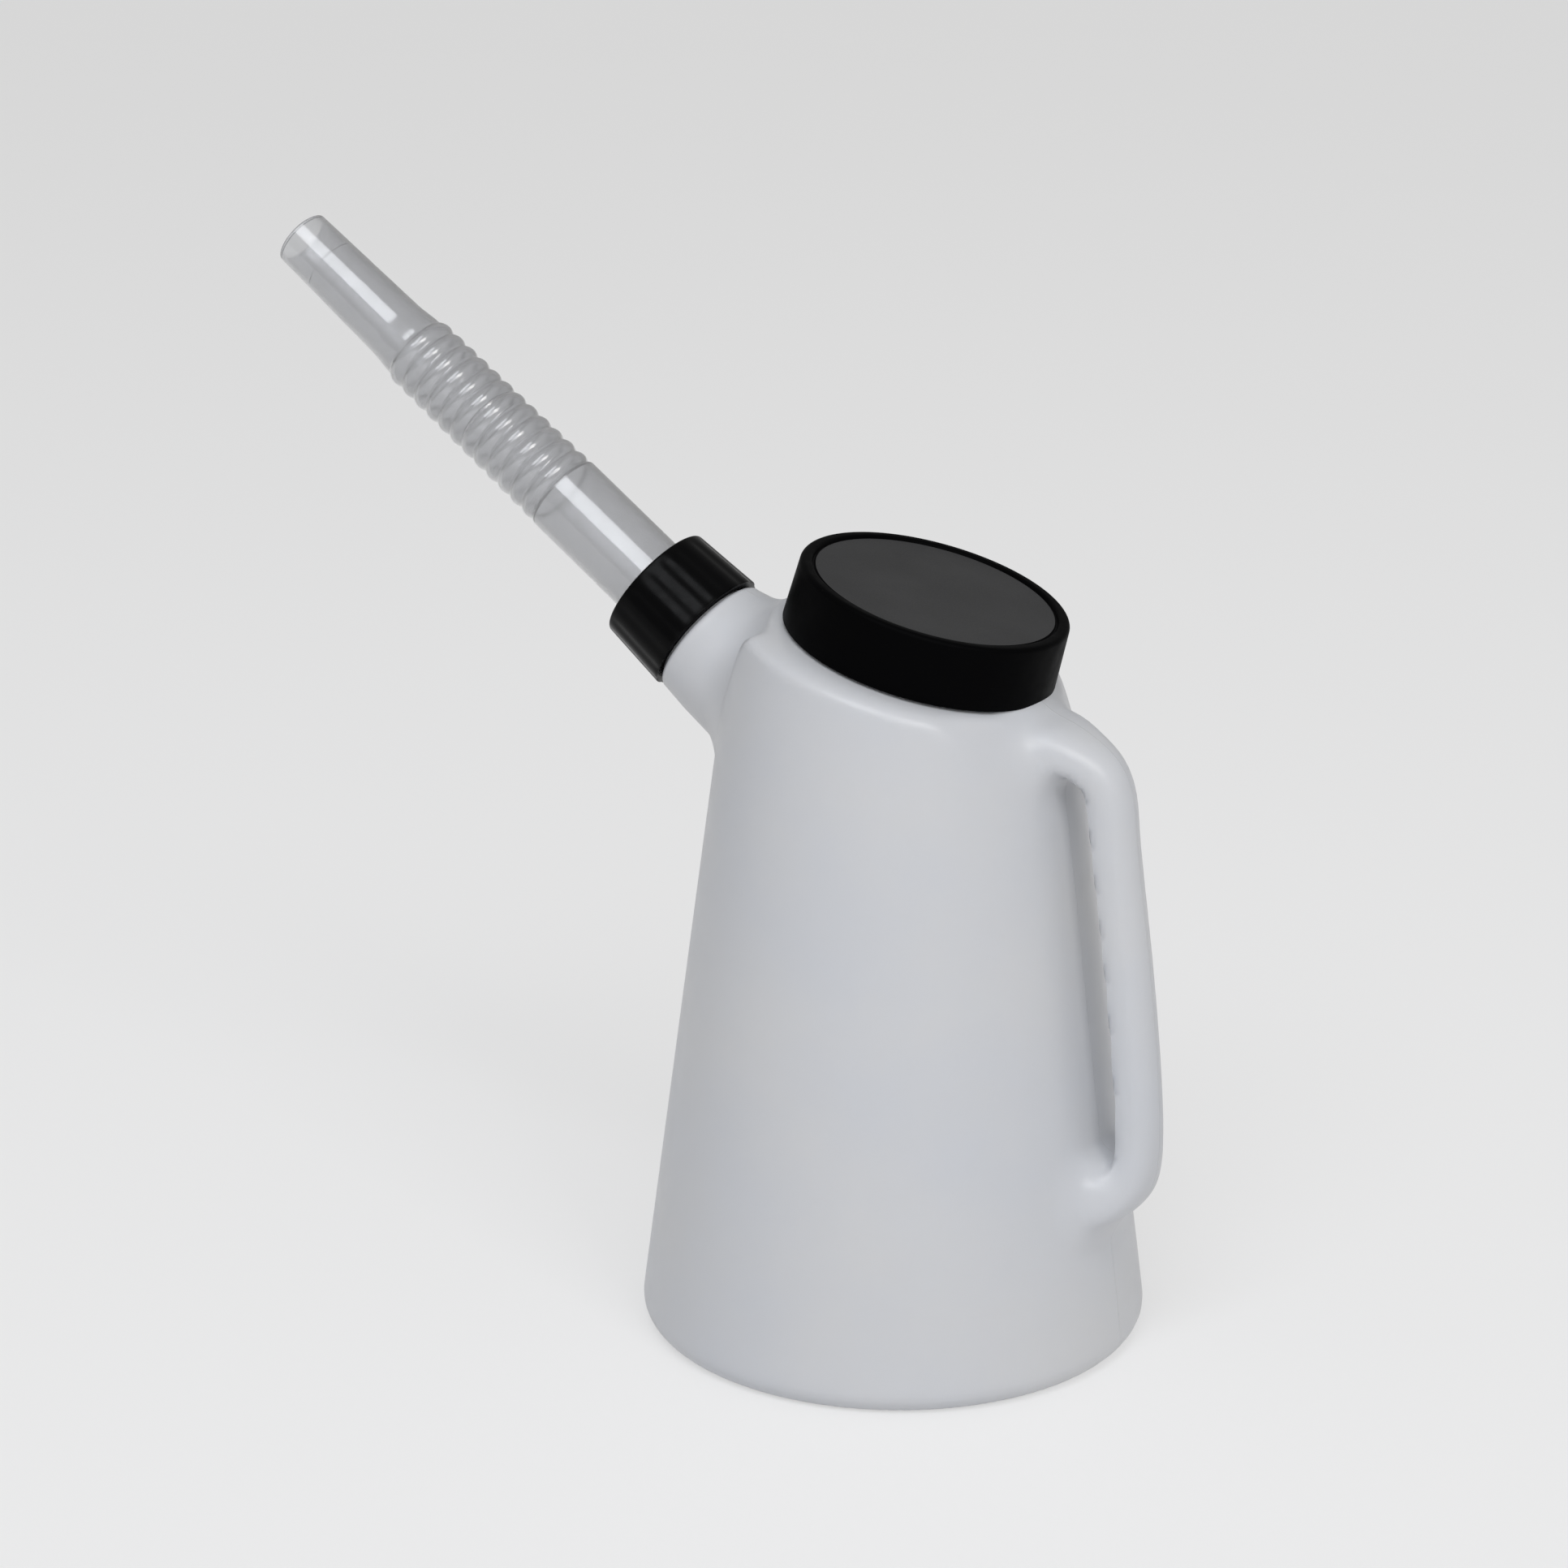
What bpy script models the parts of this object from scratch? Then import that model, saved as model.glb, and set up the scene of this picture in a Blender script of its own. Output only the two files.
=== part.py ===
"""Five litre oil jug: a blow-moulded conical jug with a hollow handle, a tilted screw lid
and a ribbed flexible spout held by a union nut.

The origin is the centre of the base on the floor. +Z is up, the spout points to -X and the
handle is at +X. All lengths are in metres.
"""
import math

import bmesh
import bpy
from mathutils import Vector

MM = 0.001

# Fits between pieces
TOUCH_GAP = 0.3 * MM
OVERRUN = 5.0 * MM
MERGE_DISTANCE = 0.01 * MM
ROUND_STEPS = 56
SMALL_ROUND_STEPS = 40

# Jug body: a cone with a rounded foot, a slanted shoulder and an even wall
BASE_RADIUS = 100.0 * MM
BASE_CORNER = 8.0 * MM
CONE_LEAN = math.radians(7.63)
BODY_WALL = 2.0 * MM
BODY_COLUMNS = 48
FOOT_STEPS = 5
SHOULDER_TILT = math.radians(16.1)
SHOULDER_X = 8.3 * MM
SHOULDER_Z = 272.3 * MM
SHOULDER_DROP = 24.0 * MM
SHOULDER_MARGIN = 3.5 * MM
SHOULDER_STEPS = 6

# The wall is pressed flat behind the grip, to make room for fingers
FINGER_FLAT_DEPTH = 4.5 * MM
FINGER_FLAT_RAMP = 26.0 * MM
FINGER_FLAT_STEPS = 3

# Lid: a shallow screw cap with a raised rim round its top
LID_HEIGHT = 25.0 * MM
LID_RIM_RADIUS = 53.5 * MM
LID_TAPER = 0.9 * MM
LID_SKIRT_WALL = 2.2 * MM
LID_TOP_WALL = 2.2 * MM
LID_EDGE_ROUND = 1.6 * MM
LID_BORDER_WIDTH = 3.2 * MM
LID_DISC_SINK = 0.9 * MM
LID_GAP = 1.2 * MM

# Mouth of the jug inside the lid, and the ring that seals it
MOUTH_THREAD_ROOM = 1.7 * MM
MOUTH_CHAMFER = 0.6 * MM
MOUTH_ROOT = 1.0 * MM
SEAL_THICKNESS = 1.5 * MM
SEAL_WIDTH = 4.6 * MM
SEAL_ROOM = 0.5 * MM

# Spout neck: its face, measured out and down from the shoulder's corner at -X, and its slope
NECK_REACH = 40.35 * MM
NECK_DROP = 11.78 * MM
NECK_SLOPE = math.radians(36.82)
NECK_FINISH_MARGIN = 4.8 * MM
NECK_STEP = 4.7 * MM
NECK_SHOULDER_ROUND = 3.0 * MM
NECK_FLARE = 4.0 * MM
NECK_RISE = 2.6 * MM
NECK_FLARE_END = 36.0 * MM
NECK_LENGTH = 62.0 * MM
NECK_WALL = 2.0 * MM

# Union nut on the neck
NUT_LENGTH = 29.0 * MM
NUT_SIDE_WALL = 2.4 * MM
NUT_TAPER = 1.7 * MM
NUT_FRONT_WALL = 3.0 * MM
NUT_CHAMFER = 0.8 * MM
NUT_THREAD_ROOM = 1.5 * MM
NUT_REAR_GAP = 0.7 * MM

# Flat ring under the spout's flange
GASKET_THICKNESS = 1.5 * MM
GASKET_BORE_MARGIN = 0.8 * MM

# Flexible spout: flange and plain tube, ribbed stretch, tapered tip
SPOUT_RADIUS = 16.7 * MM
SPOUT_WALL = 1.5 * MM
SPOUT_NUT_CLEARANCE = 0.4 * MM
FLANGE_THICKNESS = 2.2 * MM
FLANGE_ROOM = 0.4 * MM
PLAIN_LENGTH = 52.0 * MM
RIB_COUNT = 12
RIB_PITCH = 7.1 * MM
RIB_DEPTH = 1.5 * MM
RIBS_TAPER = 1.0 * MM
TIP_LENGTH = 70.0 * MM
TIP_SHOULDER_LENGTH = 13.0 * MM
TIP_STEP = 1.0 * MM
TIP_TAPER = 1.1 * MM
TIP_EDGE_ROUND = 0.6 * MM

# Handle: a hollow grip of flattened round section that follows the cone
GRIP_DEPTH = 15.0 * MM
GRIP_WIDTH = 27.0 * MM
GRIP_TOP_DROP = 60.3 * MM
GRIP_BOTTOM_Z = 92.0 * MM
GRIP_OFFSET = 18.7 * MM
GRIP_STEPS = 3
ARM_RISE = 33.0 * MM
ARM_DROP = 22.0 * MM
HANDLE_WALL = 2.0 * MM

# Sections of the two arms, from inside the body to the grip. Each has its reach as a share of
# GRIP_OFFSET, its height as a share of ARM_RISE or ARM_DROP, the angle of its depth above level
# in degrees, and its depth and width as shares of the grip's.
UPPER_ARM_SHARES = (
    (-0.75, 1.03, 90, 1.85, 1.60),
    (0.00, 0.97, 86, 1.65, 1.50),
    (0.50, 0.91, 68, 1.45, 1.15),
    (0.96, 0.70, 42, 1.38, 1.00),
    (1.02, 0.36, 16, 1.18, 1.00),
)
LOWER_ARM_SHARES = (
    (0.78, 0.77, -41, 1.15, 1.10),
    (0.00, 1.09, -66, 1.73, 1.90),
    (-0.75, 1.09, -90, 1.73, 2.00),
)

# Corners at this distance become the middle of a side once a four-cornered cage is subdivided
CAGE_SHRINK_SHARE = 0.92


def clear_scene():
    for item in list(bpy.data.objects):
        bpy.data.objects.remove(item, do_unlink=True)


def new_collection(name):
    old = bpy.data.collections.get(name)
    if old:
        bpy.data.collections.remove(old)
    group = bpy.data.collections.new(name)
    bpy.context.scene.collection.children.link(group)
    return group


def plastic(name, colour, roughness, alpha=1.0):
    material = bpy.data.materials.new(name)
    material.use_nodes = True
    shader = material.node_tree.nodes["Principled BSDF"]
    shader.inputs["Base Color"].default_value = (*colour, 1.0)
    shader.inputs["Roughness"].default_value = roughness
    shader.inputs["Metallic"].default_value = 0.0
    shader.inputs["Alpha"].default_value = alpha
    return material


def add_object(name, mesh, group, material=None):
    thing = bpy.data.objects.new(name, mesh)
    group.objects.link(thing)
    if material:
        mesh.materials.append(material)
    return thing


def add_guide(name, mesh):
    thing = add_object(name, mesh, guides)
    thing.hide_render = True
    thing.display_type = "WIRE"
    return thing


def arc(centre_r, centre_z, radius, start_deg, end_deg, steps):
    """Points of a profile arc. Angles are measured from the outward direction."""
    points = []
    for i in range(steps + 1):
        angle = math.radians(start_deg + (end_deg - start_deg) * i / steps)
        points.append((centre_r + radius * math.cos(angle), centre_z + radius * math.sin(angle)))
    return points


def profile_mesh(name, points, closed):
    """A profile in the XZ plane, as (radius, height) from the top down its outer side."""
    mesh = bpy.data.meshes.new(name)
    edges = [(i, i + 1) for i in range(len(points) - 1)]
    if closed:
        edges.append((len(points) - 1, 0))
    mesh.from_pydata([(r, 0.0, z) for r, z in points], edges, [])
    return mesh


def turn(thing, steps):
    """Turn the profile once round its own Z axis."""
    screw = thing.modifiers.new("turn", "SCREW")
    screw.axis = "Z"
    screw.angle = math.tau
    screw.steps = steps
    screw.render_steps = steps
    screw.use_merge_vertices = True
    screw.merge_threshold = MERGE_DISTANCE
    screw.use_smooth_shade = True
    return thing


def boolean(thing, other, operation):
    step = thing.modifiers.new(operation.lower() + "_" + other.name, "BOOLEAN")
    step.operation = operation
    step.object = other
    step.solver = "EXACT"


def loft(name, rings):
    """Closed mesh through rings of points, with a face across each end."""
    mesh = bpy.data.meshes.new(name)
    work = bmesh.new()
    rows = [[work.verts.new(point) for point in ring] for ring in rings]
    for row, following in zip(rows, rows[1:]):
        for i in range(len(row)):
            after = (i + 1) % len(row)
            work.faces.new((row[i], row[after], following[after], following[i]))
    work.faces.new(rows[0])
    work.faces.new(rows[-1])
    bmesh.ops.recalc_face_normals(work, faces=work.faces)
    for face in work.faces:
        face.smooth = True
    work.to_mesh(mesh)
    work.free()
    return mesh


# Derived places shared by several pieces
CONE_SLOPE = math.tan(CONE_LEAN)
FOOT_CENTRE_R = BASE_RADIUS - BASE_CORNER
SHOULDER_UP = Vector((math.sin(SHOULDER_TILT), 0.0, math.cos(SHOULDER_TILT)))
SHOULDER_OUT = Vector((math.cos(SHOULDER_TILT), 0.0, -math.sin(SHOULDER_TILT)))
SHOULDER_CENTRE = Vector((SHOULDER_X, 0.0, SHOULDER_Z))

LID_TOP_RADIUS = LID_RIM_RADIUS - LID_TAPER
LID_TOP_UNDERSIDE = LID_GAP + LID_HEIGHT - LID_DISC_SINK - LID_TOP_WALL
SEAL_TOP = LID_TOP_UNDERSIDE - TOUCH_GAP
MOUTH_HEIGHT = SEAL_TOP - SEAL_THICKNESS - TOUCH_GAP
LID_INNER_TOP = LID_TOP_RADIUS - LID_SKIRT_WALL
LID_INNER_RIM = LID_RIM_RADIUS - LID_SKIRT_WALL
MOUTH_RADIUS = LID_INNER_TOP - MOUTH_THREAD_ROOM
MOUTH_BORE = MOUTH_RADIUS - BODY_WALL

GASKET_TOP = TOUCH_GAP + GASKET_THICKNESS
FLANGE_BOTTOM = GASKET_TOP + TOUCH_GAP
FLANGE_TOP = FLANGE_BOTTOM + FLANGE_THICKNESS
NUT_SHOULDER = FLANGE_TOP + TOUCH_GAP
NUT_FRONT = NUT_SHOULDER + NUT_FRONT_WALL
NUT_REAR = NUT_FRONT - NUT_LENGTH
NECK_SHOULDER = NUT_REAR - NUT_REAR_GAP
NECK_FINISH_RADIUS = SPOUT_RADIUS + NECK_FINISH_MARGIN
NECK_RADIUS = NECK_FINISH_RADIUS + NECK_STEP
NUT_BORE = NECK_FINISH_RADIUS + NUT_THREAD_ROOM
NUT_FRONT_RADIUS = NUT_BORE + NUT_SIDE_WALL
NUT_REAR_RADIUS = NUT_FRONT_RADIUS + NUT_TAPER
FLANGE_RADIUS = NUT_BORE - FLANGE_ROOM
SPOUT_BORE = SPOUT_RADIUS - SPOUT_WALL
GASKET_BORE = SPOUT_BORE + GASKET_BORE_MARGIN
RIBS_END_RADIUS = SPOUT_RADIUS - RIBS_TAPER
TIP_START_RADIUS = RIBS_END_RADIUS - RIB_DEPTH - TIP_STEP
TIP_END_RADIUS = TIP_START_RADIUS - TIP_TAPER
GRIP_TOP_Z = SHOULDER_Z - GRIP_TOP_DROP

PLAIN_END = NUT_FRONT + PLAIN_LENGTH
BELLOWS_START = PLAIN_END + TOUCH_GAP
BELLOWS_LENGTH = RIB_COUNT * RIB_PITCH
BELLOWS_END = BELLOWS_START + BELLOWS_LENGTH
TIP_START = BELLOWS_END + TOUCH_GAP
TIP_END = TIP_START + TIP_LENGTH
BEND_LOWER = BELLOWS_START + BELLOWS_LENGTH / 4
BEND_UPPER = BELLOWS_END - BELLOWS_LENGTH / 4


def cone_radius(z, inset=0.0):
    """Radius of the body's cone at a height, or of the surface that lies inset inside it."""
    corner = BASE_CORNER - inset
    touch_r = FOOT_CENTRE_R + corner * math.cos(CONE_LEAN)
    touch_z = BASE_CORNER + corner * math.sin(CONE_LEAN)
    return touch_r - (z - touch_z) * CONE_SLOPE


def wall_point(angle, z, flat_share, inset):
    """Point on the cone, pressed back to the flat behind the grip by a share of its depth."""
    radius = cone_radius(z, inset)
    if flat_share > 0 and math.cos(angle) > 0:
        flat_x = cone_radius(z) - FINGER_FLAT_DEPTH * flat_share - inset
        radius = min(radius, flat_x / math.cos(angle))
    return Vector((radius * math.cos(angle), radius * math.sin(angle), z))


def shoulder_corner(angle, inset):
    """Where the cone's line at this angle would meet the plane of the shoulder."""
    reach = cone_radius(0.0, inset)
    lean = SHOULDER_UP.x * math.cos(angle)
    level = SHOULDER_UP.dot(SHOULDER_CENTRE) - inset
    height = (level - lean * reach) / (SHOULDER_UP.z - lean * CONE_SLOPE)
    return wall_point(angle, height, 0.0, inset)


def shoulder_circle(angle, radius, height):
    """Point on a circle about the lid's axis, at a height above the shoulder's plane."""
    across = SHOULDER_OUT * math.cos(angle) + Vector((0.0, math.sin(angle), 0.0))
    return SHOULDER_CENTRE + across * radius + SHOULDER_UP * height


def flat_levels():
    """Heights of the wall's rings, and how deep the finger flat is at each."""
    levels = []
    for i in range(FINGER_FLAT_STEPS + 1):
        share = i / FINGER_FLAT_STEPS
        depth = share * share * (3 - 2 * share)
        levels.append((GRIP_BOTTOM_Z - GRIP_DEPTH / 2 + FINGER_FLAT_RAMP * share, depth))
    return levels + [(GRIP_TOP_Z + GRIP_BOTTOM_Z - z, depth) for z, depth in reversed(levels)]


def body_rings(inset, mouth):
    """Rings of the jug's closed form, from the foot to the top of the mouth."""
    angles = [math.tau * i / BODY_COLUMNS for i in range(BODY_COLUMNS)]
    lean = math.degrees(CONE_LEAN)
    rings = []
    for r, z in arc(FOOT_CENTRE_R, BASE_CORNER, BASE_CORNER - inset, -90.0, lean, FOOT_STEPS):
        rings.append([Vector((r * math.cos(a), r * math.sin(a), z)) for a in angles])
    for z, flat_share in flat_levels():
        rings.append([wall_point(a, z, flat_share, inset) for a in angles])
    for i in range(SHOULDER_STEPS + 1):
        t = i / SHOULDER_STEPS
        ring = []
        for a in angles:
            corner = shoulder_corner(a, inset)
            below = wall_point(a, corner.z - SHOULDER_DROP, 0.0, inset)
            skirt = shoulder_circle(a, LID_RIM_RADIUS - SHOULDER_MARGIN, -inset)
            ring.append(below * (1 - t) ** 2 + corner * 2 * t * (1 - t) + skirt * t ** 2)
        rings.append(ring)
    for radius, height in mouth:
        rings.append([shoulder_circle(a, radius, height) for a in angles])
    return rings


def handle_rings(inset):
    """Cage sections of the handle, from the upper root to the lower one."""
    rings = []

    def add(x, z, angle, depth_share, width_share):
        half_depth = (GRIP_DEPTH * depth_share / 2 - inset) / CAGE_SHRINK_SHARE
        half_width = (GRIP_WIDTH * width_share / 2 - inset) / CAGE_SHRINK_SHARE
        out_x = half_depth * math.cos(angle)
        out_z = half_depth * math.sin(angle)
        inner = (x - out_x, z - out_z)
        outer = (x + out_x, z + out_z)
        corners = ((inner, -half_width), (outer, -half_width), (outer, half_width), (inner, half_width))
        rings.append([Vector((point[0], y, point[1])) for point, y in corners])

    for reach, rise, angle, depth_share, width_share in UPPER_ARM_SHARES:
        z = GRIP_TOP_Z + ARM_RISE * rise
        add(cone_radius(z) + GRIP_OFFSET * reach, z, math.radians(angle), depth_share, width_share)
    for i in range(GRIP_STEPS + 1):
        z = GRIP_TOP_Z + (GRIP_BOTTOM_Z - GRIP_TOP_Z) * i / GRIP_STEPS
        add(cone_radius(z) + GRIP_OFFSET, z, CONE_LEAN, 1, 1)
    for reach, drop, angle, depth_share, width_share in LOWER_ARM_SHARES:
        z = GRIP_BOTTOM_Z - ARM_DROP * drop
        add(cone_radius(z) + GRIP_OFFSET * reach, z, math.radians(angle), depth_share, width_share)
    return rings


def subdivide(thing, levels):
    step = thing.modifiers.new("soft", "SUBSURF")
    step.levels = levels
    step.render_levels = levels
    return thing


def build_jug_body():
    """The shell: outer form less inner form, both made of cone, mouth, neck and handle."""
    mouth = [(MOUTH_RADIUS + MOUTH_ROOT, 0.0), (MOUTH_RADIUS, MOUTH_ROOT)]
    mouth += [(MOUTH_RADIUS, MOUTH_HEIGHT - MOUTH_CHAMFER), (MOUTH_RADIUS - MOUTH_CHAMFER, MOUTH_HEIGHT)]
    milky = plastic("milky_plastic", (0.78, 0.79, 0.80), 0.42)
    body = add_object("jug_body", loft("jug_body", body_rings(0.0, mouth)), parts, milky)
    neck_form = add_guide("neck_form", loft("neck_form", neck_rings(neck_levels())))
    neck_form.parent = spout_line
    boolean(body, neck_form, "UNION")
    handle_form = subdivide(add_guide("handle_form", loft("handle_form", handle_rings(0.0))), 2)
    boolean(body, handle_form, "UNION")

    bore = [(MOUTH_BORE, -BODY_WALL), (MOUTH_BORE, MOUTH_HEIGHT + OVERRUN)]
    hollow = add_guide("hollow", loft("hollow", body_rings(BODY_WALL, bore)))
    neck_bore = add_guide("neck_bore", loft("neck_bore", neck_rings(neck_bore_levels())))
    neck_bore.parent = spout_line
    boolean(hollow, neck_bore, "UNION")
    handle_bore = subdivide(add_guide("handle_bore", loft("handle_bore", handle_rings(HANDLE_WALL))), 2)
    boolean(hollow, handle_bore, "UNION")
    boolean(body, hollow, "DIFFERENCE")
    return body


def neck_levels():
    """Radius, height and rise of the neck's outer rings, from its face into the body."""
    turn_z = NECK_SHOULDER - NECK_SHOULDER_ROUND
    levels = [(NECK_FINISH_RADIUS - MOUTH_CHAMFER, 0.0, 0.0), (NECK_FINISH_RADIUS, -MOUTH_CHAMFER, 0.0)]
    levels.append((NECK_FINISH_RADIUS, NECK_SHOULDER, 0.0))
    for r, z in arc(NECK_RADIUS - NECK_SHOULDER_ROUND, turn_z, NECK_SHOULDER_ROUND, 90.0, 0.0, 3):
        levels.append((r, z, 0.0))
    levels.append((NECK_RADIUS + NECK_FLARE / 2, -NECK_FLARE_END, NECK_RISE / 2))
    levels.append((NECK_RADIUS + NECK_FLARE, -NECK_LENGTH, NECK_RISE))
    return levels


def neck_bore_levels():
    narrow = NECK_FINISH_RADIUS - NECK_WALL
    wide = NECK_RADIUS - NECK_WALL
    widen_z = NECK_SHOULDER - NECK_WALL
    levels = [(narrow, OVERRUN, 0.0), (narrow, widen_z, 0.0), (wide, widen_z - NECK_SHOULDER_ROUND, 0.0)]
    levels.append((wide + NECK_FLARE / 2, -NECK_FLARE_END, NECK_RISE / 2))
    levels.append((wide + NECK_FLARE, -NECK_LENGTH - OVERRUN, NECK_RISE))
    return levels


def neck_rings(levels):
    """Rings about the spout's line. Those near the body are wider and lie a little higher."""
    rings = []
    for radius, height, rise in levels:
        ring = []
        for i in range(SMALL_ROUND_STEPS):
            angle = math.tau * i / SMALL_ROUND_STEPS
            ring.append(Vector((rise + radius * math.cos(angle), radius * math.sin(angle), height)))
        rings.append(ring)
    return rings


def build_lid():
    outer_top = LID_GAP + LID_HEIGHT
    disc_radius = LID_TOP_RADIUS - LID_EDGE_ROUND - LID_BORDER_WIDTH
    disc_top = outer_top - LID_DISC_SINK
    points = [(0.0, disc_top), (disc_radius, disc_top), (disc_radius + LID_DISC_SINK / 2, outer_top)]
    points += arc(LID_TOP_RADIUS - LID_EDGE_ROUND, outer_top - LID_EDGE_ROUND, LID_EDGE_ROUND, 90.0, 0.0, 4)
    points += [(LID_RIM_RADIUS, LID_GAP), (LID_INNER_RIM, LID_GAP)]
    points += [(LID_INNER_TOP, LID_TOP_UNDERSIDE), (0.0, LID_TOP_UNDERSIDE)]
    black = plastic("black_lid", (0.02, 0.02, 0.021), 0.5)
    lid = add_object("lid", profile_mesh("lid", points, False), parts, black)
    lid.parent = shoulder
    return turn(lid, ROUND_STEPS)


def ring_profile(outer, inner, low, high):
    return [(inner, high), (outer, high), (outer, low), (inner, low)]


def build_lid_seal():
    outer = LID_INNER_TOP - SEAL_ROOM
    points = ring_profile(outer, outer - SEAL_WIDTH, SEAL_TOP - SEAL_THICKNESS, SEAL_TOP)
    mesh = profile_mesh("lid_seal", points, True)
    seal = add_object("lid_seal", mesh, parts, plastic("grey_foam", (0.55, 0.55, 0.54), 0.8))
    seal.parent = shoulder
    return turn(seal, ROUND_STEPS)


def build_spout_nut():
    bore = SPOUT_RADIUS + SPOUT_NUT_CLEARANCE
    points = [(bore, NUT_FRONT), (NUT_FRONT_RADIUS - NUT_CHAMFER, NUT_FRONT)]
    points += [(NUT_FRONT_RADIUS, NUT_FRONT - NUT_CHAMFER), (NUT_REAR_RADIUS, NUT_REAR)]
    points += [(NUT_BORE, NUT_REAR), (NUT_BORE, NUT_SHOULDER), (bore, NUT_SHOULDER)]
    mesh = profile_mesh("spout_nut", points, True)
    nut = add_object("spout_nut", mesh, parts, plastic("black_nut", (0.02, 0.02, 0.022), 0.35))
    nut.parent = spout_line
    return turn(nut, SMALL_ROUND_STEPS)


def build_spout_gasket():
    points = ring_profile(FLANGE_RADIUS, GASKET_BORE, TOUCH_GAP, GASKET_TOP)
    mesh = profile_mesh("spout_gasket", points, True)
    gasket = add_object("spout_gasket", mesh, parts, plastic("black_rubber", (0.03, 0.03, 0.03), 0.8))
    gasket.parent = spout_line
    return turn(gasket, SMALL_ROUND_STEPS)


def build_spout_base(clear):
    points = [(SPOUT_BORE, PLAIN_END), (SPOUT_RADIUS, PLAIN_END), (SPOUT_RADIUS, FLANGE_TOP)]
    points += [(FLANGE_RADIUS, FLANGE_TOP), (FLANGE_RADIUS, FLANGE_BOTTOM), (SPOUT_BORE, FLANGE_BOTTOM)]
    base = add_object("spout_base", profile_mesh("spout_base", points, True), parts, clear)
    base.parent = spout_line
    return turn(base, SMALL_ROUND_STEPS)


def build_spout_bellows(clear):
    """Ribs as a crest and a root of unlike radius, which shrink a little towards the tip."""
    crest_drop = (SPOUT_RADIUS - RIBS_END_RADIUS) / RIB_COUNT
    outside = [(SPOUT_RADIUS, BELLOWS_START)]
    for i in range(RIB_COUNT):
        crest = SPOUT_RADIUS - crest_drop * i
        low = BELLOWS_START + RIB_PITCH * i
        outside.append((crest - RIB_DEPTH, low + RIB_PITCH / 4))
        outside.append((crest, low + RIB_PITCH * 3 / 4))
    outside.append((RIBS_END_RADIUS - RIB_DEPTH, BELLOWS_END))
    bore = RIBS_END_RADIUS - RIB_DEPTH - SPOUT_WALL
    points = [(bore, BELLOWS_END)] + outside[::-1]
    points.append((SPOUT_RADIUS - RIB_DEPTH - SPOUT_WALL, BELLOWS_START))
    bellows = add_object("spout_bellows", profile_mesh("spout_bellows", points, True), parts, clear)
    bellows.parent = lower_bend
    bellows.location = (0.0, 0.0, -BEND_LOWER)
    return turn(bellows, SMALL_ROUND_STEPS)


def build_spout_tip(clear):
    taper_end = TIP_START + TIP_SHOULDER_LENGTH
    start = RIBS_END_RADIUS - RIB_DEPTH
    inner_end = TIP_END_RADIUS - SPOUT_WALL
    points = [(inner_end, TIP_END)]
    points += arc(TIP_END_RADIUS - TIP_EDGE_ROUND, TIP_END - TIP_EDGE_ROUND, TIP_EDGE_ROUND, 90.0, 0.0, 3)
    points += [(TIP_START_RADIUS, taper_end), (start, TIP_START)]
    points += [(start - SPOUT_WALL, TIP_START), (TIP_START_RADIUS - SPOUT_WALL, taper_end)]
    tip = add_object("spout_tip", profile_mesh("spout_tip", points, True), parts, clear)
    tip.parent = upper_bend
    tip.location = (0.0, 0.0, -BEND_UPPER)
    return turn(tip, SMALL_ROUND_STEPS)


def add_axis(name, location, lean, parent=None):
    axis = bpy.data.objects.new(name, None)
    guides.objects.link(axis)
    axis.location = location
    axis.rotation_euler = (0.0, lean, 0.0)
    axis.parent = parent
    return axis


clear_scene()
parts = new_collection("oil_jug")
guides = new_collection("construction")

shoulder = add_axis("shoulder", (SHOULDER_X, 0.0, SHOULDER_Z), SHOULDER_TILT)
spout_corner = shoulder_corner(math.pi, 0.0)
neck_face = (spout_corner.x - NECK_REACH, 0.0, spout_corner.z - NECK_DROP)
spout_line = add_axis("spout_line", neck_face, NECK_SLOPE - math.pi / 2)
lower_bend = add_axis("lower_bend", (0.0, 0.0, BEND_LOWER), 0.0, spout_line)
upper_bend = add_axis("upper_bend", (0.0, 0.0, BEND_UPPER), 0.0, spout_line)

build_jug_body()
build_lid()
build_lid_seal()
build_spout_nut()
build_spout_gasket()
clear_plastic = plastic("clear_spout", (0.72, 0.73, 0.74), 0.2, 0.6)
build_spout_base(clear_plastic)
build_spout_bellows(clear_plastic)
build_spout_tip(clear_plastic)
bpy.context.view_layer.update()
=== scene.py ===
"""Looks of a five litre oil jug: milky blow-moulded body with a hollow handle, black screw lid,
black union nut and a clear ribbed spout. Lengths are in metres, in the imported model's frame."""
import math

import bmesh
import bpy
import numpy as np
from mathutils import Matrix, Vector
from mathutils.bvhtree import BVHTree
from mathutils.kdtree import KDTree


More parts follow.
